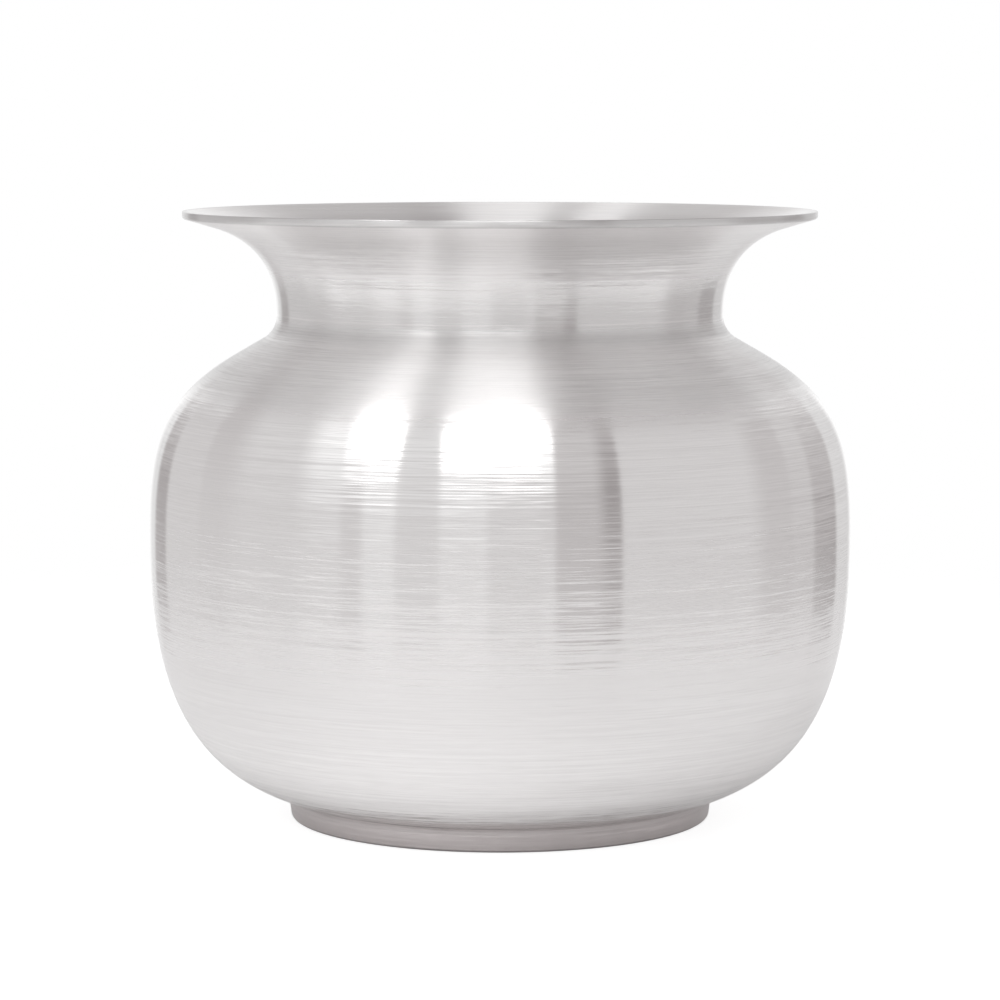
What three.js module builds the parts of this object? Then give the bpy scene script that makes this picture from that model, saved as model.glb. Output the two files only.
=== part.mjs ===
// A lota: a round-bellied metal water pot with a pinched neck, a wide flared lip and a low foot ring.
// Millimetres, +Z up, with the origin on the table under the centre of the foot.
// Three spun pieces are joined by silver solder: the bowl with its shoulder and throat collar,
// the neck with its flared lip, whose skirt fits inside that collar, and the ring that the pot stands on.

import * as THREE from "three";

// Sheet and solder
const SHEET = 1.0; // thickness of the spun sheet
const SOLDER_FILM = 0.2; // gap that the solder fills between two joined faces
const SOLDER_CLEARANCE = 0.05; // from the solder to each face beside it

// Foot ring
const FOOT_RADIUS = 30.0; // outside, at the table
const FOOT_TOP_RADIUS = 30.4; // outside, where the bowl sits on the ring
const FOOT_HEIGHT = 3.3; // from the table to the bowl, on the outside of the ring
const FOOT_WALL = 1.9; // thickness of the ring, the same at the table and at the top
const FOOT_OUTER_ROUND = 0.5; // rounding of the ring's lower outer edge
const FOOT_INNER_ROUND = 0.3; // rounding of the ring's lower inner edge
const FOOT_FILLET = 0.7; // length of the solder fillet along the bowl and down the ring
const FOOT_FILLET_FULLNESS = 0.5; // 0 is hollowed right into the crease and 1 is a flat bevel

// Bowl, from the flat base to the collar
const BASE_BEND_RADIUS = 20; // from the flat base into the wall
const SEAT_SLOPE = 15.5; // degrees, rise of the wall where it leaves the foot
const SEAT_PULL = 16.5; // how far the wall follows that slope before it turns up
const BELLY_RADIUS = 50; // widest circle
const BELLY_HEIGHT = 41; // height of the widest circle
const BELLY_PULL_DOWN = 19; // how far the wall stays upright below the widest circle
const BELLY_PULL_UP = 13.4; // and above it
const SHOULDER_SLOPE = 30; // degrees, rise of the straight shoulder towards the neck
const SHOULDER_LENGTH = 4.2; // straight stretch of the shoulder
const SHOULDER_PULL = 12.2; // how far the belly follows that slope as it comes up to the shoulder
const CREASE_RADIUS = 4; // hollow between the shoulder and the neck

// Neck and lip
const WAIST_RADIUS = 31.7; // narrowest circle, where the neck is soldered to the collar
const WAIST_HEIGHT = 72; // top edge of the collar
const WAIST_PULL = 6.6; // how far the neck stays upright above the waist
const LIP_SLOPE = 16.5; // degrees, rise of the lip towards the rim
const LIP_LENGTH = 4.5; // straight stretch of the lip
const LIP_PULL = 5.8; // how far the flare follows that slope as it comes out to the lip
const RIM_RADIUS = 45; // outside of the rim
const RIM_HEIGHT = 86.7; // upper corner of the rim before it is rounded
const RIM_LOWER_ROUND = 0.45; // rounding under the rim's edge
const RIM_UPPER_ROUND = 0.15; // rounding on top of the rim's edge
const SKIRT_LENGTH = 3; // how far the neck reaches down inside the collar
const SKIRT_SOLDERED = 1.5; // how far the solder runs down that lap
const JOGGLE_START = 0.2; // from the seam up to the foot of the step inside the neck
const JOGGLE_RISE = 1.8; // height of that step, which sets the skirt in from the neck

// Fineness of the facets
const TURNS = 64; // round the axis
const BEND_STEPS = 3; // along the bend of the base
const HOLLOW_STEPS = 5; // along the hollow under the neck
const BELLY_STEPS = 9; // along each half of the belly
const FLARE_STEPS = 8; // along the flare of the neck
const EDGE_STEPS = 2; // round a rim or foot edge
const FILLET_STEPS = 3; // across the solder fillet

const METAL = { color: 0xdcdad7, metalness: 1, roughness: 0.32 };
const SOLDER = { color: 0xcfccc8, metalness: 1, roughness: 0.42 };

// A profile lies in a half plane: x is the distance from the axis and y is the height.
const at = (radius, height) => new THREE.Vector2(radius, height);
const rise = (degrees) => at(1, 0).rotateAround(at(0, 0), THREE.MathUtils.degToRad(degrees));
const along = (point, direction, distance) => point.clone().addScaledVector(direction, distance);

// The points of a chain of curves, moved sideways to the left of the way that the chain runs.
function trace(chain, offset = 0) {
  const points = [];
  for (const { curve, steps } of chain) {
    for (let step = points.length ? 1 : 0; step <= steps; step++) {
      const tangent = curve.getTangent(step / steps);
      points.push(along(curve.getPoint(step / steps), at(-tangent.y, tangent.x), offset));
    }
  }
  return points;
}

const line = (from, to) => ({ curve: new THREE.LineCurve(from, to), steps: 1 });

function bend(centre, radius, fromDegrees, toDegrees, steps) {
  const [from, to] = [fromDegrees, toDegrees].map(THREE.MathUtils.degToRad);
  const curve = new THREE.EllipseCurve(centre.x, centre.y, radius, radius, from, to, to < from);
  return { curve, steps };
}

function sweep(from, fromPull, toPull, to, steps) {
  return { curve: new THREE.CubicBezierCurve(from, fromPull, toPull, to), steps };
}

// The points of an arc that rounds the corner between two straight edges.
function roundedCorner(before, corner, after, radius, steps) {
  const back = before.clone().sub(corner).normalize();
  const ahead = after.clone().sub(corner).normalize();
  const half = Math.acos(back.dot(ahead)) / 2;
  const centre = along(corner, back.clone().add(ahead).normalize(), radius / Math.sin(half));
  const start = along(corner, back, radius / Math.tan(half)).sub(centre);
  const turn = Math.sign(back.cross(ahead)) * (2 * half - Math.PI);
  return Array.from({ length: steps + 1 }, (_, step) =>
    start.clone().rotateAround(at(0, 0), (turn * step) / steps).add(centre),
  );
}

// A solid of revolution from an outline that runs anticlockwise: up on the outside, down on the inside.
function turned(name, outline, finish) {
  const onAxis = outline[0].x === 0;
  const closed = onAxis ? outline : [...outline, outline[0].clone()];
  const geometry = new THREE.LatheGeometry(closed, TURNS);
  geometry.rotateX(Math.PI / 2);
  const mesh = new THREE.Mesh(geometry, new THREE.MeshStandardMaterial(finish));
  mesh.name = name;
  return mesh;
}

// Outer curves of the bowl: flat base, bend over the foot, belly, shoulder and the hollow up to the collar's edge
const seat = at(FOOT_TOP_RADIUS, FOOT_HEIGHT);
const seatRise = rise(SEAT_SLOPE);
const baseCentre = along(seat, at(-seatRise.y, seatRise.x), BASE_BEND_RADIUS);
const baseHeight = baseCentre.y - BASE_BEND_RADIUS;
const belly = at(BELLY_RADIUS, BELLY_HEIGHT);
const creaseCentre = at(WAIST_RADIUS + CREASE_RADIUS, WAIST_HEIGHT);
const shoulderFall = rise(-SHOULDER_SLOPE);
const shoulderTop = along(creaseCentre, at(shoulderFall.y, -shoulderFall.x), CREASE_RADIUS);
const shoulderFoot = along(shoulderTop, shoulderFall, SHOULDER_LENGTH);

const bowlChain = [
  line(at(0, baseHeight), at(baseCentre.x, baseHeight)),
  bend(baseCentre, BASE_BEND_RADIUS, -90, SEAT_SLOPE - 90, BEND_STEPS),
  sweep(
    seat,
    along(seat, seatRise, SEAT_PULL),
    at(BELLY_RADIUS, BELLY_HEIGHT - BELLY_PULL_DOWN),
    belly,
    BELLY_STEPS,
  ),
  sweep(
    belly,
    at(BELLY_RADIUS, BELLY_HEIGHT + BELLY_PULL_UP),
    along(shoulderFoot, shoulderFall, SHOULDER_PULL),
    shoulderFoot,
    BELLY_STEPS,
  ),
  line(shoulderFoot, shoulderTop),
  bend(creaseCentre, CREASE_RADIUS, 270 - SHOULDER_SLOPE, 180, HOLLOW_STEPS),
];

function makeBowl() {
  return turned("bowl", [...trace(bowlChain), ...trace(bowlChain, SHEET).reverse()], METAL);
}

// Outer curves of the neck, from the seam at the waist to the lower corner of the rim
const seamHeight = WAIST_HEIGHT + SOLDER_FILM;
const lipRise = rise(LIP_SLOPE);
const rimTop = at(RIM_RADIUS, RIM_HEIGHT);
const rimUnder = at(RIM_RADIUS, RIM_HEIGHT - SHEET / lipRise.x);
const lipRoot = along(rimUnder, lipRise, -LIP_LENGTH);
const flare = sweep(
  at(WAIST_RADIUS, seamHeight),
  at(WAIST_RADIUS, seamHeight + WAIST_PULL),
  along(lipRoot, lipRise, -LIP_PULL),
  lipRoot,
  FLARE_STEPS,
);

// The skirt drops inside the collar, so it is set in by the collar's sheet and the solder film.
const skirtRadius = WAIST_RADIUS - SHEET - SOLDER_FILM;
const skirtBottom = WAIST_HEIGHT - SKIRT_LENGTH;
const joggleFoot = seamHeight + JOGGLE_START;
const joggleHead = joggleFoot + JOGGLE_RISE;

function makeNeck() {
  const flareInside = trace([flare], SHEET).filter((point) => point.y > joggleHead);
  const lipInside = flareInside.at(-1);
  const outline = [
    at(skirtRadius, skirtBottom),
    at(skirtRadius, seamHeight),
    ...trace([flare]),
    ...roundedCorner(lipRoot, rimUnder, rimTop, RIM_LOWER_ROUND, EDGE_STEPS),
    ...roundedCorner(rimUnder, rimTop, lipInside, RIM_UPPER_ROUND, EDGE_STEPS),
    ...flareInside.reverse(),
    at(WAIST_RADIUS - SHEET, joggleHead),
    at(skirtRadius - SHEET, joggleFoot),
    at(skirtRadius - SHEET, skirtBottom),
  ];
  return turned("neck_and_lip", outline, METAL);
}

// A point on the base bend, moved out from the bowl, at a given distance from the axis.
function underBend(radius, gap) {
  const reach = BASE_BEND_RADIUS + gap;
  return at(radius, baseCentre.y - Math.sqrt(reach ** 2 - (radius - baseCentre.x) ** 2));
}

const footTopInnerRadius = FOOT_TOP_RADIUS - FOOT_WALL;
const footTopOuter = underBend(FOOT_TOP_RADIUS, SOLDER_FILM);

// The top of the ring follows the bend of the base, from its outer to its inner edge.
function underBendRun(outerRadius, innerRadius, gap) {
  return Array.from({ length: BEND_STEPS + 1 }, (_, step) =>
    underBend(THREE.MathUtils.lerp(outerRadius, innerRadius, step / BEND_STEPS), gap),
  );
}

function makeFootRing() {
  const lowerOuter = at(FOOT_RADIUS, 0);
  const lowerInner = at(FOOT_RADIUS - FOOT_WALL, 0);
  const top = underBendRun(FOOT_TOP_RADIUS, footTopInnerRadius, SOLDER_FILM);
  const outline = [
    ...roundedCorner(top.at(-1), lowerInner, lowerOuter, FOOT_INNER_ROUND, EDGE_STEPS),
    ...roundedCorner(lowerInner, lowerOuter, footTopOuter, FOOT_OUTER_ROUND, EDGE_STEPS),
    ...top,
  ];
  return turned("foot_ring", outline, METAL);
}

// Solder in the lap under the neck: from the seam line in over the collar's edge and down beside the skirt
function makeNeckSolder() {
  const inner = skirtRadius + SOLDER_CLEARANCE;
  const bottom = WAIST_HEIGHT - SKIRT_SOLDERED;
  const hollow = CREASE_RADIUS + SHEET + SOLDER_CLEARANCE;
  const besideCollar = (height) =>
    at(creaseCentre.x - Math.sqrt(hollow ** 2 - (height - WAIST_HEIGHT) ** 2), height);
  const collarSide = Array.from({ length: FILLET_STEPS + 1 }, (_, step) =>
    besideCollar(THREE.MathUtils.lerp(bottom, WAIST_HEIGHT, step / FILLET_STEPS)),
  );
  const outline = [
    ...collarSide,
    at(collarSide.at(-1).x, WAIST_HEIGHT + SOLDER_CLEARANCE),
    at(WAIST_RADIUS, WAIST_HEIGHT + SOLDER_CLEARANCE),
    at(WAIST_RADIUS, seamHeight - SOLDER_CLEARANCE),
    at(inner, seamHeight - SOLDER_CLEARANCE),
    at(inner, bottom),
  ];
  return turned("neck_solder", outline, SOLDER);
}

// Solder over the foot: a film between the ring and the base that ends in a hollow fillet outside
function makeFootSolder() {
  const wallFall = at(FOOT_RADIUS, 0).sub(footTopOuter).normalize();
  const wallOut = at(-wallFall.y, wallFall.x);
  const baseOut = at(seatRise.y, -seatRise.x);
  const corner = along(footTopOuter, wallOut, SOLDER_CLEARANCE);
  const onRing = along(corner, wallFall, FOOT_FILLET);
  const onBowl = along(along(seat, baseOut, SOLDER_CLEARANCE), seatRise, FOOT_FILLET);
  const crook = corner.clone().lerp(onRing.clone().lerp(onBowl, 0.5), FOOT_FILLET_FULLNESS);
  const hollow = new THREE.QuadraticBezierCurve(onRing, crook, onBowl);
  const overRing = underBendRun(FOOT_TOP_RADIUS, footTopInnerRadius, SOLDER_FILM - SOLDER_CLEARANCE);
  const underBowl = underBendRun(FOOT_TOP_RADIUS, footTopInnerRadius, SOLDER_CLEARANCE);
  const outline = [
    ...overRing.reverse(),
    along(corner, wallFall, -SOLDER_CLEARANCE),
    ...hollow.getPoints(FILLET_STEPS),
    ...underBowl,
  ];
  return turned("foot_solder", outline, SOLDER);
}

const lota = new THREE.Group();
lota.add(makeBowl(), makeNeck(), makeFootRing(), makeNeckSolder(), makeFootSolder());

export default lota;
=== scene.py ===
"""A brushed silver lota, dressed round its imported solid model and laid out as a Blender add-on."""

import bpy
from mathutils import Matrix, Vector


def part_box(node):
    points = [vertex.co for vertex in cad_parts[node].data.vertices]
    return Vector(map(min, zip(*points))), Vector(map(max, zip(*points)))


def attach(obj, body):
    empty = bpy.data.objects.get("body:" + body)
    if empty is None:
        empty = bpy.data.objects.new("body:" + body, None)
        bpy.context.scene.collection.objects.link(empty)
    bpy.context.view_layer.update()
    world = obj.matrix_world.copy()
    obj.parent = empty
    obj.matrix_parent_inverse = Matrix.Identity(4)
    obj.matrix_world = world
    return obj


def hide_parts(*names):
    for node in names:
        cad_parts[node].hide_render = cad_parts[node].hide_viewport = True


bl_info = {
    "name": "Brushed silver lota",
    "version": (1, 0, 0),
    "blender": (4, 5, 0),
    "location": "View3D > Sidebar > Lota",
    "description": "Spins the pieces of a silver lota, brushes them and sets up a light tent",
    "category": "Add Mesh",
}

import math
from typing import NamedTuple

import bmesh
import bpy
from bpy.props import FloatProperty, FloatVectorProperty, IntProperty, PointerProperty
from mathutils import Vector
from mathutils.geometry import interpolate_bezier

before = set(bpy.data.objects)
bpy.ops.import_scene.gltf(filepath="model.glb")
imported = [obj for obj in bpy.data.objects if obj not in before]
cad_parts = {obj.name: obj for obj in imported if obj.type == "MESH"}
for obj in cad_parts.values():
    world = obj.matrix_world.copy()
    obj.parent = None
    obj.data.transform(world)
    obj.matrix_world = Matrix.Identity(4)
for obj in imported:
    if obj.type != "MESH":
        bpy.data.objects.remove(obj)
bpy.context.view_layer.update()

BODY = "root"
MM = 0.001
BELLY_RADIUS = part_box("bowl")[1].x
WAIST_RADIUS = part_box("neck_solder")[1].x
WAIST_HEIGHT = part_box("bowl")[1].z
RIM_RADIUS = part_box("neck_and_lip")[1].x
FOOT_TOP_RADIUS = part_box("foot_ring")[1].x

QUARTER_TURN = math.pi / 2
SAME_POINT = 1e-7  # metres between points that count as one
ON_CORNER = 1e-6  # metres from a corner that still count as on it
SHARP_ANGLE = math.radians(32)
STRAIGHT_STEPS = 6
BASE_BEND_STEPS = 10
CREASE_STEPS = 16
SEAT_STEPS = 8
FILLET_STEPS = 12
FILLET_HOLLOW = 0.45  # how far the fillet's middle bulges out of its corner
FILLET_PULL = 0.67  # how far its ends bend towards that middle
ROUND_STEPS = 4
FOOT_OUTER_ROUND = 0.46 * MM
FOOT_INNER_ROUND = 0.3 * MM

# Heights between which the gloss changes, and bands of painted shade in the waist and along the foot's lower edge; the
# rim's edge darkens in from the rim.
SHOULDER_GLOSS = (57.0 * MM, 65.0 * MM)
CREASE_GLOSS = (68.55 * MM, 68.9 * MM)
COLLAR_GLOSS = (70.2 * MM, 72.0 * MM)
LIP_GLOSS = (75.0 * MM, 81.0 * MM)
COLLAR_PAINTED_SHADE = (68.7 * MM, 70.2 * MM)
NECK_PAINTED_SHADE = (79.0 * MM, 75.0 * MM)
FOOT_EDGE_PAINTED_SHADE = (0.45 * MM, 0.2 * MM)
RIM_EDGE_DARKENING = (0.4 * MM, 0.2 * MM)  # distances in from the rim

LINE_SPREAD = 0.0886  # usual distance of the mixed brush lines from their middle
LINE_MIDDLE = 0.5
DARKEST_LINE = 0.3
LIGHTEST_LINE = 0.7
SHORT_STROKES = 14.0  # strokes in a radian
LONG_STROKES = 2.0
SHORT_SHARE = 0.35
LONG_SHARE = 0.65
ALONG_MERIDIAN = 0.25  # quarter turn from the tangent

BOARD_FACETS = 192
BOARD_TONE = 0.8
BOARD_TONE_SEEN = 0.35
BOARD_WHITE_SEEN = 0.85
WARMTH = 0.15
WARM_BELOW = 0.75  # tone under which the tent grows warmer
SENSOR_WIDTH = 36.0
NEAREST_SEEN = 0.01


def length(label, note, default):
    """A size in metres that a user may change."""
    return FloatProperty(name=label, description=note, default=default, min=0.0, unit="LENGTH", precision=5)


def slope(label, note, degrees):
    """An angle that a user may change."""
    return FloatProperty(name=label, description=note, default=math.radians(degrees), subtype="ANGLE")


def amount(label, note, default, low, high):
    """A plain number that a user may change."""
    return FloatProperty(name=label, description=note, default=default, min=low, max=high, precision=4)


def tint(label, note, default):
    """A linear colour that a user may change."""
    return FloatVectorProperty(name=label, description=note, default=default, subtype="COLOR", min=0.0, max=1.0)


class LotaSizes(bpy.types.PropertyGroup):
    """Sizes of the spun pieces."""

    sheet: length("Sheet", "Thickness of the spun sheet", 1.0 * MM)
    film: length("Solder film", "Height of the solder between two joined pieces", 0.2 * MM)
    foot_radius: length("Foot radius", "Outside of the ring at the table", 30.0 * MM)
    foot_top_radius: length("Foot top radius", "Outside of the ring under the bowl", FOOT_TOP_RADIUS)
    foot_height: length("Foot height", "From the table to the bowl outside the ring", 3.3 * MM)
    foot_wall: length("Foot wall", "Thickness of the ring", 1.9 * MM)
    foot_fillet: length("Foot fillet", "Reach of the solder fillet over the foot", 0.7 * MM)
    base_bend: length("Base bend", "Radius from the flat base into the wall", 20.0 * MM)
    seat_slope: slope("Seat slope", "Rise of the wall where it leaves the foot", 15.5)
    seat_pull: length("Seat pull", "How far the wall follows that slope", 16.5 * MM)
    belly_radius: length("Belly radius", "Widest circle", BELLY_RADIUS)
    belly_height: length("Belly height", "Height of the widest circle", 41.0 * MM)
    belly_pull_down: length("Belly pull down", "Upright stretch below the widest circle", 19.0 * MM)
    belly_pull_up: length("Belly pull up", "Upright stretch above the widest circle", 13.4 * MM)
    shoulder_slope: slope("Shoulder slope", "Rise of the straight shoulder", 30.0)
    shoulder_length: length("Shoulder length", "Straight stretch of the shoulder", 4.2 * MM)
    shoulder_pull: length("Shoulder pull", "How far the belly follows the shoulder", 12.2 * MM)
    crease_radius: length("Crease radius", "Hollow between the shoulder and the neck", 4.0 * MM)
    waist_radius: length("Waist radius", "Narrowest circle of the neck", WAIST_RADIUS)
    waist_height: length("Waist height", "Top edge of the collar", WAIST_HEIGHT)
    waist_pull: length("Waist pull", "Upright stretch of the neck", 6.6 * MM)
    lip_slope: slope("Lip slope", "Rise of the lip towards the rim", 16.5)
    lip_length: length("Lip length", "Straight stretch of the lip", 4.5 * MM)
    lip_pull: length("Lip pull", "How far the flare follows the lip", 5.8 * MM)
    rim_radius: length("Rim radius", "Outside of the rim", RIM_RADIUS)
    rim_height: length("Rim height", "Upper corner of the rim before rounding", 86.7 * MM)
    rim_lower_round: length("Rim lower round", "Rounding under the rim's edge", 0.45 * MM)
    rim_upper_round: length("Rim upper round", "Rounding on top of the rim's edge", 0.15 * MM)
    skirt: length("Skirt", "Reach of the neck down inside the collar", 3.0 * MM)
    joggle: length("Joggle", "Height of the step inside the neck", 1.8 * MM)
    turns: IntProperty(name="Turns", description="Facets round the axis", default=288, min=32, max=512)
    grain: IntProperty(name="Grain", description="Points along each curve", default=40, min=8, max=128)


class LotaFinish(bpy.types.PropertyGroup):
    """Finish of the brushed silver, and the painted shade on the foot ring, in the waist and along the foot's lower
    edge.
    """

    silver: tint("Silver", "Clean brushed silver", (0.955, 0.94, 0.937))
    solder: tint("Solder", "Silver solder dressed flush at the waist", (0.872, 0.858, 0.854))
    fillet: tint("Fillet", "Duller silver solder over the foot", (0.74, 0.70, 0.697))
    # Painted shade: the foot ring's tone is darker than the silver, standing in for the shadowed board that it mirrors.
    foot: tint("Foot", "Duller silver of the foot ring", (0.675, 0.632, 0.63))
    # Painted shade: this share darkens the collar in the crease and the neck down towards the waist.
    waist_painted_shade: amount("Waist dullness", "Share of the tone that is left in the waist", 0.87, 0.0, 1.0)
    # The rim's outer edge is darker by this share.
    rim_edge_darkening: amount("Rim dullness", "Share of the tone that is left on the cut edge of the rim", 0.78, 0.0, 1.0)
    # Painted shade: a dark line painted along the foot's lower edge.
    foot_edge_painted_shade: amount("Foot dullness", "Share of the tone that is left on the worn edge of the foot", 0.6, 0.0, 1.0)
    roughness: amount("Roughness", "Gloss of the brushed bowl", 0.13, 0.02, 1.0)
    shoulder_roughness: amount("Shoulder roughness", "Gloss of the upper shoulder", 0.45, 0.02, 1.0)
    neck_roughness: amount("Neck roughness", "Gloss of the neck and the foot", 0.22, 0.02, 1.0)
    lip_roughness: amount("Lip roughness", "Gloss of the flared lip", 0.33, 0.02, 1.0)
    anisotropy: amount("Anisotropy", "How far the brushing draws reflections out along the meridian", 1.0, 0.0, 1.0)
    crease_roughness: amount("Crease roughness", "Gloss in the crease, where the brush doesn't reach", 0.4, 0.02, 1.0)
    line_tilt: slope("Line tilt", "Usual tilt of the brush lines that can be seen", 3.6)
    short_line_count: amount("Short lines", "Short brush lines in a metre", 6500.0, 0.0, 100000.0)
    long_line_count: amount("Long lines", "Long brush lines in a metre", 5200.0, 0.0, 100000.0)
    line_tone: amount("Line tone", "How far the visible lines lighten and darken the metal", 0.05, 0.0, 0.5)


class LotaStudio(bpy.types.PropertyGroup):
    """Camera and lights."""

    camera_distance: length("Camera distance", "From the axis to the camera", 536.8 * MM)
    camera_height: length("Camera height", "Camera above the table", 102.28 * MM)
    camera_tilt: slope("Camera tilt", "Downward tilt of the camera", 6.058)
    camera_lens: amount("Lens", "Focal length on a 36 mm sensor, in mm", 135.785, 10.0, 500.0)
    board_radius: length("Board radius", "White board that the pot stands on", 300.0 * MM)
    board_fade: length("Board fade", "Radius from which the board fades out", 90.0 * MM)
    front_turn: slope("Front turn", "Middle of the lighter stretch of the board, right of the camera", -20.0)
    front_spread: slope("Front spread", "Reach of that stretch to either side", 50.0)
    front_glow: amount("Front glow", "How much whiter the metal sees that stretch", 0.058, 0.0, 1.0)
    board_glow: amount("Board glow", "How much whiter the metal sees the board", 0.093, 0.0, 1.0)
    near_glow: amount("Near glow", "How much whiter the metal sees the board round the foot", 0.028, 0.0, 1.0)
    near_radius: length("Near radius", "Where that starts to fade", 42.0 * MM)
    near_end: length("Near end", "Where it has gone", 72.0 * MM)
    backdrop_edge: slope("Backdrop edge", "Angle off straight behind where the metal starts to see the backdrop", 22.0)
    backdrop_full: slope("Backdrop full", "Angle off straight behind where it sees nothing else", 9.0)


def in_section(radius, height):
    """A point of a section, which lies in the plane through the axis."""
    return Vector((radius, 0.0, height))


def rise(angle):
    """The direction that climbs outwards at an angle."""
    return in_section(math.cos(angle), math.sin(angle))


def left_of(direction):
    """The direction to the left of another in the section."""
    return in_section(-direction.z, direction.x)


def arc(centre, radius, start, end, count):
    """Points of an arc in the section."""
    turns = [start + (end - start) * step / count for step in range(count + 1)]
    return [centre + radius * rise(turn) for turn in turns]


def straight(start, end):
    """Points of a straight run in the section."""
    return [start.lerp(end, step / STRAIGHT_STEPS) for step in range(STRAIGHT_STEPS + 1)]


def chain(*runs):
    """One run of points from several that meet end to end."""
    points = []
    for run in runs:
        points += [point for point in run if not points or (point - points[-1]).length > SAME_POINT]
    return points


def inset(points, distance):
    """The same run moved to its left, as the inside of a sheet is."""
    last = len(points) - 1
    moved = []
    for index, point in enumerate(points):
        along = points[min(index + 1, last)] - points[max(index - 1, 0)]
        moved.append(point + distance * left_of(along.normalized()))
    return moved


def spin_section(section, closed, turns):
    """A turned solid from a section that closes on itself or runs from the axis to the axis."""
    mesh = bmesh.new()
    verts = [mesh.verts.new(point) for point in section]
    following = verts[1:] + verts[:1] if closed else verts[1:]
    edges = [mesh.edges.new(pair) for pair in zip(verts, following)]
    bmesh.ops.spin(
        mesh,
        geom=verts + edges,
        cent=(0.0, 0.0, 0.0),
        axis=(0.0, 0.0, 1.0),
        angle=math.tau,
        steps=turns,
        use_merge=True,
    )
    bmesh.ops.remove_doubles(mesh, verts=mesh.verts, dist=SAME_POINT)
    bmesh.ops.recalc_face_normals(mesh, faces=mesh.faces)
    return mesh


def round_ring(mesh, corner, offset):
    """Bevels the ring of edges that one corner of the section has drawn."""

    def on_corner(vert):
        return abs(vert.co.xy.length - corner.x) < ON_CORNER and abs(vert.co.z - corner.z) < ON_CORNER

    ring = [edge for edge in mesh.edges if all(on_corner(vert) for vert in edge.verts)]
    if not ring:
        raise RuntimeError("no ring of edges at that corner")
    bmesh.ops.bevel(
        mesh,
        geom=ring,
        affect="EDGES",
        offset=offset,
        offset_type="OFFSET",
        segments=ROUND_STEPS,
        profile=0.5,
        material=-1,
        clamp_overlap=True,
    )


def corner_offset(radius, turn):
    """How far a round of some radius starts from a corner that turns by an angle."""
    return radius * math.tan(turn / 2)


def finish_piece(name, mesh, node, material):
    """Makes the object of a piece and puts it in the place of its solid."""
    data = bpy.data.meshes.new(name)
    for face in mesh.faces:
        face.smooth = True
    mesh.to_mesh(data)
    mesh.free()
    data.set_sharp_from_angle(angle=SHARP_ANGLE)
    data.materials.append(material)
    piece = bpy.data.objects.new(name, data)
    bpy.context.scene.collection.objects.link(piece)
    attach(piece, BODY)
    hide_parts(node)


# Places of the colour sockets on a mix node.
MIX_FACTOR = 0
MIX_FIRST = 6
MIX_SECOND = 7
MIX_COLOUR = 2


class Graph:
    """A short way to write shader nodes."""

    def __init__(self, tree):
        self.tree = tree
        tree.nodes.clear()

    def put(self, kind, inputs=None, **settings):
        """Adds a node, sets its own settings and fills its inputs with values or other nodes' outputs."""
        node = self.tree.nodes.new(kind)
        for key, value in settings.items():
            setattr(node, key, value)
        for key, value in (inputs or {}).items():
            if isinstance(value, bpy.types.NodeSocket):
                self.tree.links.new(value, node.inputs[key])
            else:
                node.inputs[key].default_value = value
        return node

    def math(self, operation, first, second=0.0):
        """One sum of two numbers."""
        return self.put("ShaderNodeMath", {0: first, 1: second}, operation=operation).outputs[0]

    def vector(self, operation, first, **inputs):
        """One sum with a vector."""
        return self.put("ShaderNodeVectorMath", {0: first, **inputs}, operation=operation).outputs["Vector"]

    def length_of(self, vector):
        """How long a vector is."""
        return self.put("ShaderNodeVectorMath", {0: vector}, operation="LENGTH").outputs["Value"]

    def remap(self, value, low, high, to_low=0.0, to_high=1.0, soft=True):
        """A value read from one range into another, easing at both ends."""
        inputs = {"Value": value, "From Min": low, "From Max": high, "To Min": to_low, "To Max": to_high}
        kind = "SMOOTHSTEP" if soft else "LINEAR"
        return self.put("ShaderNodeMapRange", inputs, interpolation_type=kind).outputs["Result"]

    def ramp(self, value, stops):
        """A colour read off a row of stops."""
        node = self.put("ShaderNodeValToRGB", {"Fac": value})
        elements = node.color_ramp.elements
        while len(elements) > 1:
            elements.remove(elements[-1])
        for index, (place, colour) in enumerate(stops):
            stop = elements[0] if index == 0 else elements.new(place)
            stop.position = place
            stop.color = colour
        return node.outputs["Color"]

    def mix_colour(self, factor, first, second):
        """A colour between two."""
        sockets = {MIX_FACTOR: factor, MIX_FIRST: first, MIX_SECOND: second}
        return self.put("ShaderNodeMix", sockets, data_type="RGBA").outputs[MIX_COLOUR]


def opaque(colour):
    """A colour with its alpha."""
    return (*colour, 1.0)


class Spot(NamedTuple):
    """Sockets that tell where a spot of the pot lies."""

    flat: bpy.types.NodeSocket
    radius: bpy.types.NodeSocket
    height: bpy.types.NodeSocket


def find_spot(graph):
    """The way from the axis, the distance from it and the height of a spot of the pot."""
    place = graph.put("ShaderNodeTexCoord").outputs["Object"]
    axes = graph.put("ShaderNodeSeparateXYZ", {0: place}).outputs
    flat = graph.put("ShaderNodeCombineXYZ", {"X": axes["X"], "Y": axes["Y"]}).outputs[0]
    return Spot(flat, graph.length_of(flat), axes["Z"])


def brush_lines(graph, spot, fine, stroke):
    """Noise that is drawn out round the axis: fine lines a metre across it, and strokes a radian along it."""
    spread = graph.vector("SCALE", graph.vector("NORMALIZE", spot.flat), Scale=stroke)
    across = graph.put("ShaderNodeCombineXYZ", {"Z": graph.math("MULTIPLY", spot.radius, fine)}).outputs[0]
    inputs = {
        "Vector": graph.put("ShaderNodeVectorMath", {0: spread, 1: across}, operation="ADD").outputs[0],
        "W": graph.math("MULTIPLY", spot.height, fine),
        "Scale": 1.0,
        "Detail": 0.0,
    }
    return graph.put("ShaderNodeTexNoise", inputs, noise_dimensions="4D").outputs["Fac"]


class GlossStep(NamedTuple):
    """A roughness that is reached between two heights."""

    start: float
    end: float
    roughness: float


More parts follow.
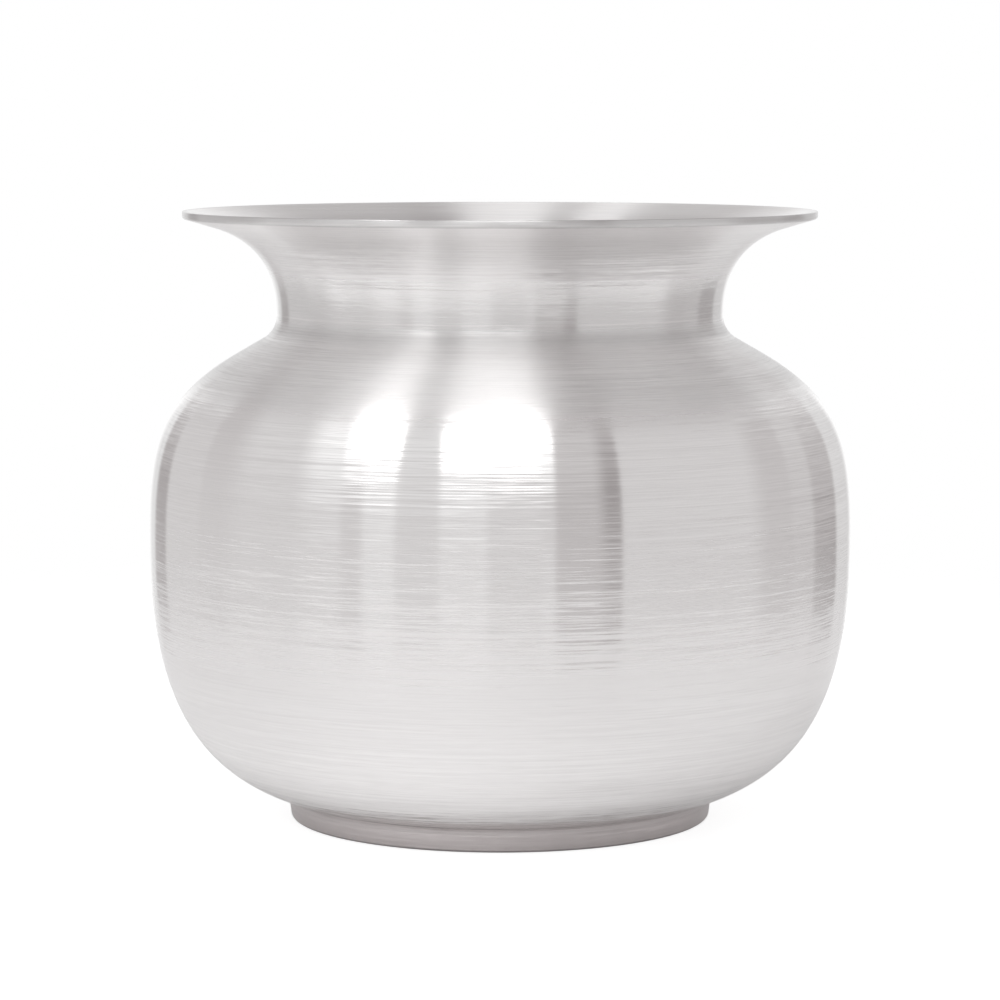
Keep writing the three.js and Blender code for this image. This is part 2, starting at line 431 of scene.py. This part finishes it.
class DarkerBand(NamedTuple):
    """A band where the tone is darker, from a radius or height where it starts to one where it is at its darkest:
    painted shade in the waist and along the foot's lower edge, and a darker edge on the rim.
    """

    along: str
    start: float
    end: float
    left: float


def brushed_silver(name, finish, colour, roughness, steps=(), edges=()):
    """Silver that is brushed round the axis, so that its lines tilt the surface up and down the meridian.

    The roughness holds from the table up, to the first of the steps that change it.
    """
    material = bpy.data.materials.new(name)
    material.use_nodes = True
    graph = Graph(material.node_tree)
    spot = find_spot(graph)
    short_lines = brush_lines(graph, spot, finish.short_line_count, SHORT_STROKES)
    long_lines = brush_lines(graph, spot, finish.long_line_count, LONG_STROKES)
    lines = graph.math(
        "ADD",
        graph.math("MULTIPLY", short_lines, SHORT_SHARE),
        graph.math("MULTIPLY", long_lines, LONG_SHARE),
    )

    light = opaque([min(1.0, channel * (1.0 + finish.line_tone)) for channel in colour])
    dark = opaque([channel * (1.0 - finish.line_tone) for channel in colour])
    tone = graph.mix_colour(graph.remap(lines, DARKEST_LINE, LIGHTEST_LINE, soft=False), dark, light)
    # Bands where the tone is darkened: painted shade in the waist and along the foot's lower edge, and a darker rim
    # edge.
    for edge in edges:
        reached = spot.radius if edge.along == "radius" else spot.height
        tone = graph.vector("SCALE", tone, Scale=graph.remap(reached, edge.start, edge.end, 1.0, edge.left))

    tilt = graph.math("MULTIPLY", graph.math("SUBTRACT", lines, LINE_MIDDLE), finish.line_tilt / LINE_SPREAD)
    tangent = graph.put("ShaderNodeTangent", direction_type="RADIAL", axis="Z").outputs[0]
    smooth = graph.put("ShaderNodeNewGeometry").outputs["Normal"]
    meridian = graph.put("ShaderNodeVectorMath", {0: smooth, 1: tangent}, operation="CROSS_PRODUCT").outputs[0]
    lean = graph.vector("SCALE", meridian, Scale=tilt)
    sloped = graph.put("ShaderNodeVectorMath", {0: smooth, 1: lean}, operation="ADD").outputs[0]

    gloss = roughness
    before = roughness
    for step in steps:
        change = graph.remap(spot.height, step.start, step.end, 0.0, step.roughness - before)
        gloss = graph.math("ADD", change, gloss)
        before = step.roughness
    shader = graph.put(
        "ShaderNodeBsdfPrincipled",
        {
            "Base Color": tone,
            "Metallic": 1.0,
            "Roughness": gloss,
            "Anisotropic": finish.anisotropy,
            "Anisotropic Rotation": ALONG_MERIDIAN,
            "Tangent": tangent,
            "Normal": graph.vector("NORMALIZE", sloped),
        },
    )
    graph.put("ShaderNodeOutputMaterial", {"Surface": shader.outputs[0]})
    return material


def bowl_outside(sizes):
    """Outside of the bowl, from the middle of its base to the collar's edge."""
    count = sizes.grain
    seat = in_section(sizes.foot_top_radius, sizes.foot_height)
    seat_rise = rise(sizes.seat_slope)
    bend_centre = seat + sizes.base_bend * left_of(seat_rise)
    belly = in_section(sizes.belly_radius, sizes.belly_height)
    upright = in_section(0.0, 1.0)
    crease = in_section(sizes.waist_radius + sizes.crease_radius, sizes.waist_height)
    fall = rise(-sizes.shoulder_slope)
    shoulder_top = crease - sizes.crease_radius * left_of(fall)
    shoulder_foot = shoulder_top + sizes.shoulder_length * fall
    flat_edge = in_section(bend_centre.x, bend_centre.z - sizes.base_bend)
    return chain(
        straight(in_section(0.0, flat_edge.z), flat_edge),
        arc(bend_centre, sizes.base_bend, -QUARTER_TURN, sizes.seat_slope - QUARTER_TURN, BASE_BEND_STEPS),
        interpolate_bezier(
            seat,
            seat + sizes.seat_pull * seat_rise,
            belly - sizes.belly_pull_down * upright,
            belly,
            count,
        ),
        interpolate_bezier(
            belly,
            belly + sizes.belly_pull_up * upright,
            shoulder_foot + sizes.shoulder_pull * fall,
            shoulder_foot,
            count,
        ),
        straight(shoulder_foot, shoulder_top),
        arc(crease, sizes.crease_radius, 3 * QUARTER_TURN - sizes.shoulder_slope, math.pi, CREASE_STEPS),
    )


class LOTA_OT_bowl(bpy.types.Operator):
    """Spin the bowl with its shoulder and throat collar"""

    bl_idname = "lota.bowl"
    bl_label = "Bowl"

    def execute(self, context):
        sizes = context.scene.lota_sizes
        finish = context.scene.lota_finish
        outside = bowl_outside(sizes)
        inside = inset(outside, sizes.sheet)
        inside[0].x = 0.0
        inside[-1] = in_section(sizes.waist_radius - sizes.sheet, sizes.waist_height)
        mesh = spin_section(outside + inside[::-1], False, sizes.turns)
        steps = (
            GlossStep(*SHOULDER_GLOSS, finish.shoulder_roughness),
            GlossStep(*CREASE_GLOSS, finish.crease_roughness),
            GlossStep(*COLLAR_GLOSS, finish.neck_roughness),
        )
        # Painted shade: the collar in the crease under the neck is darkened.
        collar = DarkerBand("height", *COLLAR_PAINTED_SHADE, finish.waist_painted_shade)
        silver = brushed_silver("bowl_silver", finish, finish.silver, finish.roughness, steps, (collar,))
        finish_piece("spun_bowl", mesh, "bowl", silver)
        return {"FINISHED"}


class LOTA_OT_neck(bpy.types.Operator):
    """Spin the neck with its flared lip and the skirt that drops inside the collar"""

    bl_idname = "lota.neck"
    bl_label = "Neck and lip"

    def execute(self, context):
        sizes = context.scene.lota_sizes
        finish = context.scene.lota_finish
        seam = sizes.waist_height + sizes.film
        climb = rise(sizes.lip_slope)
        rim_top = in_section(sizes.rim_radius, sizes.rim_height)
        rim_under = in_section(sizes.rim_radius, sizes.rim_height - sizes.sheet / climb.x)
        lip_root = rim_under - sizes.lip_length * climb
        waist = in_section(sizes.waist_radius, seam)
        flare = chain(
            interpolate_bezier(
                waist,
                waist + sizes.waist_pull * in_section(0.0, 1.0),
                lip_root - sizes.lip_pull * climb,
                lip_root,
                sizes.grain,
            ),
            straight(lip_root, rim_under),
        )
        skirt_radius = sizes.waist_radius - sizes.sheet - sizes.film
        skirt_bottom = sizes.waist_height - sizes.skirt
        step_head = seam + sizes.film + sizes.joggle
        throat = [point for point in inset(flare, sizes.sheet)[:-1] if point.z > step_head]
        section = chain(
            [in_section(skirt_radius, skirt_bottom), in_section(skirt_radius, seam)],
            flare,
            [rim_top],
            throat[::-1],
            [
                in_section(sizes.waist_radius - sizes.sheet, step_head),
                in_section(skirt_radius - sizes.sheet, step_head - sizes.joggle),
                in_section(skirt_radius - sizes.sheet, skirt_bottom),
            ],
        )
        mesh = spin_section(section, True, sizes.turns)
        round_ring(mesh, rim_under, corner_offset(sizes.rim_lower_round, QUARTER_TURN - sizes.lip_slope))
        round_ring(mesh, rim_top, corner_offset(sizes.rim_upper_round, QUARTER_TURN + sizes.lip_slope))
        steps = (GlossStep(*LIP_GLOSS, finish.lip_roughness),)
        edges = (
            # The rim's outer edge is darker, in a band a few tenths of a millimetre in from the rim.
            DarkerBand("radius", *(sizes.rim_radius - inward for inward in RIM_EDGE_DARKENING), finish.rim_edge_darkening),
            # Painted shade: the neck darkens towards the waist.
            DarkerBand("height", *NECK_PAINTED_SHADE, finish.waist_painted_shade),
        )
        silver = brushed_silver("neck_silver", finish, finish.silver, finish.neck_roughness, steps, edges)
        finish_piece("spun_neck_and_lip", mesh, "neck_and_lip", silver)
        return {"FINISHED"}


def bowl_underside(sizes, outer, inner, gap):
    """Points just under the bend of the base, from an outer to an inner radius."""
    seat = in_section(sizes.foot_top_radius, sizes.foot_height)
    centre = seat + sizes.base_bend * left_of(rise(sizes.seat_slope))
    reach = sizes.base_bend + gap
    points = []
    for step in range(SEAT_STEPS + 1):
        radius = outer + (inner - outer) * step / SEAT_STEPS
        points.append(in_section(radius, centre.z - math.sqrt(reach**2 - (radius - centre.x) ** 2)))
    return points


class LOTA_OT_foot(bpy.types.Operator):
    """Turn the ring that the pot stands on"""

    bl_idname = "lota.foot"
    bl_label = "Foot ring"

    def execute(self, context):
        sizes = context.scene.lota_sizes
        finish = context.scene.lota_finish
        lower_outer = in_section(sizes.foot_radius, 0.0)
        lower_inner = in_section(sizes.foot_radius - sizes.foot_wall, 0.0)
        top = bowl_underside(sizes, sizes.foot_top_radius, sizes.foot_top_radius - sizes.foot_wall, sizes.film)
        mesh = spin_section([lower_inner, lower_outer, *top], True, sizes.turns)
        round_ring(mesh, lower_outer, FOOT_OUTER_ROUND)
        round_ring(mesh, lower_inner, FOOT_INNER_ROUND)
        # Painted shade: a dark line along the foot's lower edge, where it mirrors the board's contact shadow.
        shaded = DarkerBand("height", *FOOT_EDGE_PAINTED_SHADE, finish.foot_edge_painted_shade)
        # The foot material carries that darker tone as painted shade.
        silver = brushed_silver("foot_shaded_silver", finish, finish.foot, finish.neck_roughness, edges=(shaded,))
        finish_piece("turned_foot_ring", mesh, "foot_ring", silver)
        return {"FINISHED"}


class LOTA_OT_solder(bpy.types.Operator):
    """Run the solder into the seam at the waist and the crease over the foot"""

    bl_idname = "lota.solder"
    bl_label = "Solder"

    def execute(self, context):
        sizes = context.scene.lota_sizes
        finish = context.scene.lota_finish
        dressed = brushed_silver("waist_solder_silver", finish, finish.solder, finish.neck_roughness)
        dull = brushed_silver("foot_solder_silver", finish, finish.fillet, finish.neck_roughness)
        seam = [
            in_section(sizes.waist_radius - sizes.sheet, sizes.waist_height),
            in_section(sizes.waist_radius, sizes.waist_height),
            in_section(sizes.waist_radius, sizes.waist_height + sizes.film),
            in_section(sizes.waist_radius - sizes.sheet, sizes.waist_height + sizes.film),
        ]
        mesh = spin_section(seam, True, sizes.turns)
        finish_piece("waist_solder", mesh, "neck_solder", dressed)

        seat = in_section(sizes.foot_top_radius, sizes.foot_height)
        on_bowl = seat + sizes.foot_fillet * rise(sizes.seat_slope)
        wall = (in_section(sizes.foot_radius, 0.0) - seat).normalized()
        on_ring = seat + (sizes.foot_fillet + sizes.film) * wall
        crook = seat.lerp(on_ring.lerp(on_bowl, 0.5), FILLET_HOLLOW)
        hollow = interpolate_bezier(
            on_ring,
            on_ring.lerp(crook, FILLET_PULL),
            on_bowl.lerp(crook, FILLET_PULL),
            on_bowl,
            FILLET_STEPS,
        )
        within = sizes.foot_top_radius - sizes.foot_wall
        over = bowl_underside(sizes, sizes.foot_top_radius, within, 0.0)
        under = bowl_underside(sizes, sizes.foot_top_radius, within, sizes.film)
        section = chain(under[::-1], hollow, over)
        mesh = spin_section(section, True, sizes.turns)
        finish_piece("foot_solder_fillet", mesh, "foot_solder", dull)
        return {"FINISHED"}


def in_front(graph, studio):
    """How far a place on the board lies in the lighter stretch in front of the pot."""
    place = graph.put("ShaderNodeTexCoord").outputs["Object"]
    axes = graph.put("ShaderNodeSeparateXYZ", {0: place})
    toward = graph.math("MULTIPLY", axes.outputs["Y"], -1.0)
    turn = graph.math("ARCTAN2", axes.outputs["X"], toward)
    away = graph.math("ABSOLUTE", graph.math("SUBTRACT", turn, studio.front_turn))
    return graph.remap(away, 0.0, studio.front_spread, 1.0, 0.0)


def make_floor(studio):
    """The white board under the pot, which keeps the pot's shadow and fades out towards its edge."""
    mesh = bmesh.new()
    bmesh.ops.create_circle(mesh, cap_ends=True, segments=BOARD_FACETS, radius=studio.board_radius)
    data = bpy.data.meshes.new("board")
    mesh.to_mesh(data)
    mesh.free()
    material = bpy.data.materials.new("board_white")
    material.use_nodes = True
    graph = Graph(material.node_tree)
    path = graph.put("ShaderNodeLightPath")
    seen = path.outputs["Is Camera Ray"]
    mirrored = graph.math("MAXIMUM", path.outputs["Is Glossy Ray"], path.outputs["Is Transmission Ray"])
    shade = graph.remap(seen, 0.0, 1.0, BOARD_TONE, BOARD_TONE_SEEN, soft=False)
    paper = graph.put("ShaderNodeBsdfDiffuse", {"Color": shade})
    place = graph.put("ShaderNodeTexCoord").outputs["Object"]
    away = graph.length_of(place)
    near = graph.remap(away, studio.near_radius, studio.near_end, studio.near_glow, 0.0)
    lighter = graph.math("ADD", graph.math("MULTIPLY", in_front(graph, studio), studio.front_glow), near)
    lit = graph.math("MULTIPLY", mirrored, graph.math("ADD", lighter, studio.board_glow))
    glow = graph.math("ADD", graph.math("MULTIPLY", seen, BOARD_WHITE_SEEN), lit)
    white = graph.put("ShaderNodeEmission", {"Color": (1.0, 1.0, 1.0, 1.0), "Strength": glow})
    both = graph.put("ShaderNodeAddShader", {0: paper.outputs[0], 1: white.outputs[0]})
    faded = graph.remap(away, studio.board_fade, studio.board_radius)
    clear = graph.put("ShaderNodeBsdfTransparent")
    board_shader = graph.put("ShaderNodeMixShader", {0: faded, 1: both.outputs[0], 2: clear.outputs[0]})
    graph.put("ShaderNodeOutputMaterial", {"Surface": board_shader.outputs[0]})
    data.materials.append(material)
    board = bpy.data.objects.new("board", data)
    bpy.context.scene.collection.objects.link(board)


class TentStrip(NamedTuple):
    """An upright strip of the light tent, from the floor in front of the pot to overhead and on behind it.

    Start is the side of the pot that mirrors the strip's left edge, in degrees to the right of the camera, and the
    strip runs on to the next one. Tones are pairs of rise and brightness: a rise of 0 is level with the pot, 90 is
    overhead and less than 0 is the floor.
    """

    name: str
    start: float
    blur: float
    tones: tuple


RISE_LOW = -60.0
RISE_HIGH = 140.0
PEAK = 4.0  # brightness that the tent's ramps are scaled by
TENT_STRIPS = (
    TentStrip("back_left", -95, 1, ((-60, 0.79), (0, 0.74), (110, 1.04), (140, 0.71))),
    TentStrip("pole_left", -76.2, 2.5, ((-50, 0.62), (-12, 0.38), (40, 0.54), (70, 0.86), (110, 1.04), (140, 0.71))),
    TentStrip("side_left", -69.5, 2, ((-60, 0.65), (60, 0.60), (92, 0.77), (110, 0.68), (140, 0.71))),
    TentStrip("edge_left", -57, 2, ((-60, 1.07), (-20, 0.62), (92, 0.50), (110, 0.45), (140, 0.71))),
    TentStrip("wall_left", -48, 8, (
        (-60, 2.12), (-32, 1.51), (-20, 0.63), (76, 0.68), (92, 0.49), (110, 0.30), (140, 0.71),
    )),
    TentStrip("glow_left", -33, 6, (
        (-60, 2.06), (-32, 1.94), (-14, 0.60), (34, 0.86), (56, 0.93), (68, 1.20), (92, 0.30), (104, 0.30),
        (140, 0.71),
    )),
    TentStrip("left_stand", -26, 2, (
        (-60, 0.99), (-32, 1.50), (-26, 1.28), (-14, 0.59), (10, 0.60), (34, 1.00), (68, 2.39), (92, 1.30),
        (104, 0.78), (140, 0.71),
    )),
    TentStrip("left_box", -22.3, 2, (
        (-60, 1.17), (-32, 1.89), (-26, 1.57), (-14, 0.67), (26, 0.85), (34, 1.25), (44, 2.94), (56, 3.50),
        (80, 1.30), (92, 0.30), (104, 0.30), (120, 0.67), (140, 0.71),
    )),
    TentStrip("gap", -16.8, 1.4, (
        (-60, 1.01), (-32, 1.62), (-26, 1.34), (-14, 0.61), (56, 0.76), (80, 0.67), (92, 0.30), (104, 0.30),
        (140, 0.71),
    )),
    TentStrip("front", -9.6, 1.4, (
        (-60, 1.72), (-26, 1.59), (-14, 0.64), (26, 0.86), (34, 1.16), (44, 2.47), (56, 2.74), (80, 0.86),
        (92, 0.30), (120, 1.06), (140, 0.71),
    )),
    TentStrip("camera", -2, 1.6, (
        (-60, 1.22), (-26, 1.06), (-14, 0.54), (2, 0.70), (10, 0.58), (34, 1.05), (44, 2.41), (56, 3.39), (80, 1.11),
        (92, 0.30), (104, 0.30), (120, 0.71), (140, 0.71),
    )),
    TentStrip("top_edge", 6.6, 1.5, (
        (-60, 1.39), (-26, 1.41), (-14, 0.67), (10, 0.58), (26, 0.89), (44, 1.02), (56, 1.77), (68, 1.88),
        (92, 0.62), (104, 0.30), (120, 0.30), (140, 0.71),
    )),
    TentStrip("flag", 8.8, 1.2, (
        (-60, 1.46), (-32, 1.43), (-14, 0.48), (68, 0.59), (92, 0.30), (120, 0.30), (140, 0.71),
    )),
    TentStrip("flag_edge", 16.4, 3, (
        (-60, 0.84), (-38, 0.79), (-20, 0.44), (-6, 0.48), (10, 0.30), (68, 0.47), (104, 0.30), (140, 0.71),
    )),
    TentStrip("wall_right", 19.6, 1, (
        (-60, 1.03), (-38, 1.54), (-32, 1.36), (-20, 0.52), (-6, 0.64), (70, 0.62), (92, 0.30), (110, 0.30),
        (140, 0.71),
    )),
    TentStrip("edge_right", 46, 6, (
        (-60, 0.85), (-20, 0.46), (-10, 0.55), (60, 0.52), (76, 0.69), (110, 0.44), (140, 0.71),
    )),
    TentStrip("side_right", 54.5, 2, ((-60, 0.69), (-20, 0.50), (-10, 0.56), (60, 0.60), (92, 0.83), (140, 0.71))),
    TentStrip("pole_right", 61.2, 2, ((-50, 0.78), (-30, 0.30), (-12, 0.44), (50, 0.56), (110, 1.07), (140, 0.71))),
    TentStrip("back_right", 70.6, 2, ((-60, 0.63), (60, 0.73), (110, 1.15), (140, 0.71))),
)


def tent_colour(tone):
    """The colour of a tone of the tent. The dark ones are a little warmer."""
    warmth = WARMTH * max(0.0, WARM_BELOW - tone)
    return (tone * (1.0 + warmth) / PEAK, tone / PEAK, tone / PEAK, 1.0)


def make_tent(studio):
    """The world: white behind the pot for the camera, and the light tent for everything else."""
    world = bpy.data.worlds.new("light_tent")
    world.use_nodes = True
    graph = Graph(world.node_tree)
    way = graph.put("ShaderNodeTexCoord").outputs["Generated"]
    axes = graph.put("ShaderNodeSeparateXYZ", {0: way})
    toward = graph.math("SUBTRACT", 1.0, axes.outputs["Y"])
    side = graph.math("DEGREES", graph.math("ARCTAN2", axes.outputs["X"], toward))
    squared = graph.math("MULTIPLY", axes.outputs["Z"], axes.outputs["Z"])
    span = graph.math("SUBTRACT", graph.math("MULTIPLY", toward, 2.0), squared)
    reach = graph.math("SQRT", graph.math("MAXIMUM", span, 0.0))
    climb = graph.math("MULTIPLY", axes.outputs["Z"], reach)
    rising = graph.math("DEGREES", graph.math("ARCTAN2", climb, graph.math("SUBTRACT", toward, squared)))
    share = graph.remap(rising, RISE_LOW, RISE_HIGH, soft=False)
    tones = None
    for strip in TENT_STRIPS:
        stops = [((angle - RISE_LOW) / (RISE_HIGH - RISE_LOW), tent_colour(tone)) for angle, tone in strip.tones]
        cloth = graph.ramp(share, stops)
        if tones is None:
            tones = cloth
        else:
            inside = graph.remap(side, strip.start - strip.blur / 2, strip.start + strip.blur / 2)
            tones = graph.mix_colour(inside, tones, cloth)
    tent = graph.put("ShaderNodeBackground", {"Color": tones, "Strength": PEAK})
    white = graph.put("ShaderNodeBackground", {"Color": (1.0, 1.0, 1.0, 1.0), "Strength": 1.0})
    path = graph.put("ShaderNodeLightPath")
    mirrored = graph.math("MAXIMUM", path.outputs["Is Glossy Ray"], path.outputs["Is Transmission Ray"])
    behind = graph.remap(axes.outputs["Y"], math.cos(studio.backdrop_edge), math.cos(studio.backdrop_full))
    seen = graph.math("MAXIMUM", path.outputs["Is Camera Ray"], graph.math("MULTIPLY", mirrored, behind))
    both = graph.put("ShaderNodeMixShader", {0: seen, 1: tent.outputs[0], 2: white.outputs[0]})
    graph.put("ShaderNodeOutputWorld", {"Surface": both.outputs[0]})
    bpy.context.scene.world = world


class LOTA_OT_stage(bpy.types.Operator):
    """Set the board, the light tent and the camera"""

    bl_idname = "lota.stage"
    bl_label = "Stage"

    def execute(self, context):
        scene = context.scene
        studio = scene.lota_studio
        make_floor(studio)
        make_tent(studio)
        data = bpy.data.cameras.new("camera")
        data.sensor_fit = "HORIZONTAL"
        data.sensor_width = SENSOR_WIDTH
        data.lens = studio.camera_lens
        data.clip_start = NEAREST_SEEN
        camera = bpy.data.objects.new("camera", data)
        camera.location = (0.0, -studio.camera_distance, studio.camera_height)
        camera.rotation_euler = (QUARTER_TURN - studio.camera_tilt, 0.0, 0.0)
        scene.collection.objects.link(camera)
        scene.camera = camera
        scene.view_settings.view_transform = "Standard"
        return {"FINISHED"}


class LOTA_PT_panel(bpy.types.Panel):
    """The pot's pieces and sizes"""

    bl_idname = "LOTA_PT_panel"
    bl_label = "Lota"
    bl_space_type = "VIEW_3D"
    bl_region_type = "UI"
    bl_category = "Lota"

    def draw(self, context):
        column = self.layout.column()
        for operator in OPERATORS:
            column.operator(operator.bl_idname)
        for group in (context.scene.lota_sizes, context.scene.lota_finish, context.scene.lota_studio):
            box = column.box()
            for name in group.__annotations__:
                box.prop(group, name)


GROUPS = {"lota_sizes": LotaSizes, "lota_finish": LotaFinish, "lota_studio": LotaStudio}
OPERATORS = (LOTA_OT_bowl, LOTA_OT_neck, LOTA_OT_foot, LOTA_OT_solder, LOTA_OT_stage)


def register():
    """Registers the classes and hangs the sizes on the scene."""
    for name, group in GROUPS.items():
        bpy.utils.register_class(group)
        setattr(bpy.types.Scene, name, PointerProperty(type=group))
    for operator in OPERATORS:
        bpy.utils.register_class(operator)
    bpy.utils.register_class(LOTA_PT_panel)


def unregister():
    """Takes everything back out."""
    bpy.utils.unregister_class(LOTA_PT_panel)
    for operator in reversed(OPERATORS):
        bpy.utils.unregister_class(operator)
    for name, group in reversed(GROUPS.items()):
        delattr(bpy.types.Scene, name)
        bpy.utils.unregister_class(group)


def main():
    """Builds the pot and its stage."""
    register()
    bpy.ops.lota.bowl()
    bpy.ops.lota.neck()
    bpy.ops.lota.foot()
    bpy.ops.lota.solder()
    bpy.ops.lota.stage()


if __name__ == "__main__":
    main()
